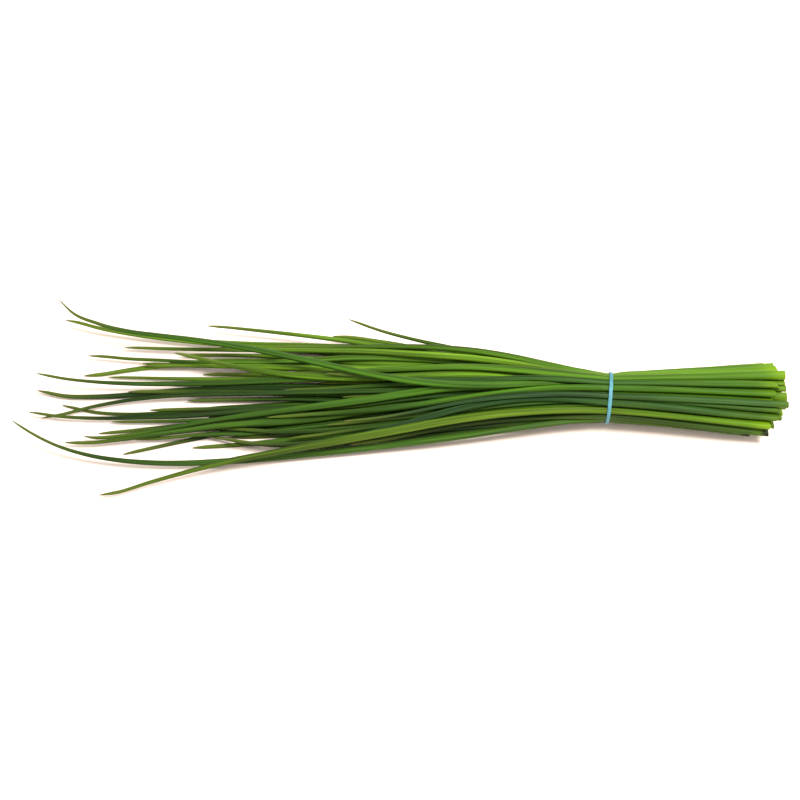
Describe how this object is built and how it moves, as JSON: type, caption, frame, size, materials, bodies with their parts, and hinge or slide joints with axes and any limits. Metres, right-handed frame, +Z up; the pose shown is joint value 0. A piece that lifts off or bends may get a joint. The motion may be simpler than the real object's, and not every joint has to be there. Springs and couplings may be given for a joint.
{
  "type": "chive bunch",
  "caption": "Bunch of cut chives lying down, its long hollow leaves fanning out from a rubber band near their cut ends.",
  "frame": {"origin": "middle of the bunch's outline, on the surface that it lies on", "axes": "+X along the bunch towards the cut ends, +Y towards the bunch's far side, +Z up from the surface that it lies on"},
  "size_m": [0.289, 0.0864, 0.0204],
  "materials": {
    "chive_leaf": "waxy green leaf, satin, finely ribbed",
    "rubber": "light blue, smooth, matt"
  },
  "bodies": {
    "root": {"leaf_01": "chive_leaf", "leaf_02": "chive_leaf", "leaf_03": "chive_leaf", "leaf_04": "chive_leaf", "leaf_05": "chive_leaf", "leaf_06": "chive_leaf", "leaf_07": "chive_leaf", "leaf_08": "chive_leaf", "leaf_09": "chive_leaf", "leaf_10": "chive_leaf", "leaf_11": "chive_leaf", "leaf_12": "chive_leaf", "leaf_13": "chive_leaf", "leaf_14": "chive_leaf", "leaf_15": "chive_leaf", "leaf_16": "chive_leaf", "leaf_17": "chive_leaf", "leaf_18": "chive_leaf", "leaf_19": "chive_leaf", "leaf_20": "chive_leaf", "leaf_21": "chive_leaf", "leaf_22": "chive_leaf", "leaf_23": "chive_leaf", "leaf_24": "chive_leaf", "leaf_25": "chive_leaf", "leaf_26": "chive_leaf", "leaf_27": "chive_leaf", "leaf_28": "chive_leaf", "leaf_29": "chive_leaf", "leaf_30": "chive_leaf", "leaf_31": "chive_leaf", "leaf_32": "chive_leaf", "leaf_33": "chive_leaf", "leaf_34": "chive_leaf", "leaf_35": "chive_leaf", "leaf_36": "chive_leaf", "leaf_37": "chive_leaf", "leaf_38": "chive_leaf", "leaf_39": "chive_leaf", "leaf_40": "chive_leaf", "leaf_41": "chive_leaf", "leaf_42": "chive_leaf", "leaf_43": "chive_leaf", "leaf_44": "chive_leaf", "leaf_45": "chive_leaf", "leaf_46": "chive_leaf", "leaf_47": "chive_leaf", "leaf_48": "chive_leaf", "leaf_49": "chive_leaf", "leaf_50": "chive_leaf", "leaf_51": "chive_leaf", "leaf_52": "chive_leaf", "leaf_53": "chive_leaf", "leaf_54": "chive_leaf", "leaf_55": "chive_leaf", "leaf_56": "chive_leaf", "leaf_57": "chive_leaf", "leaf_58": "chive_leaf", "leaf_59": "chive_leaf", "rubber_band": "rubber"}
  },
  "joints": []
}
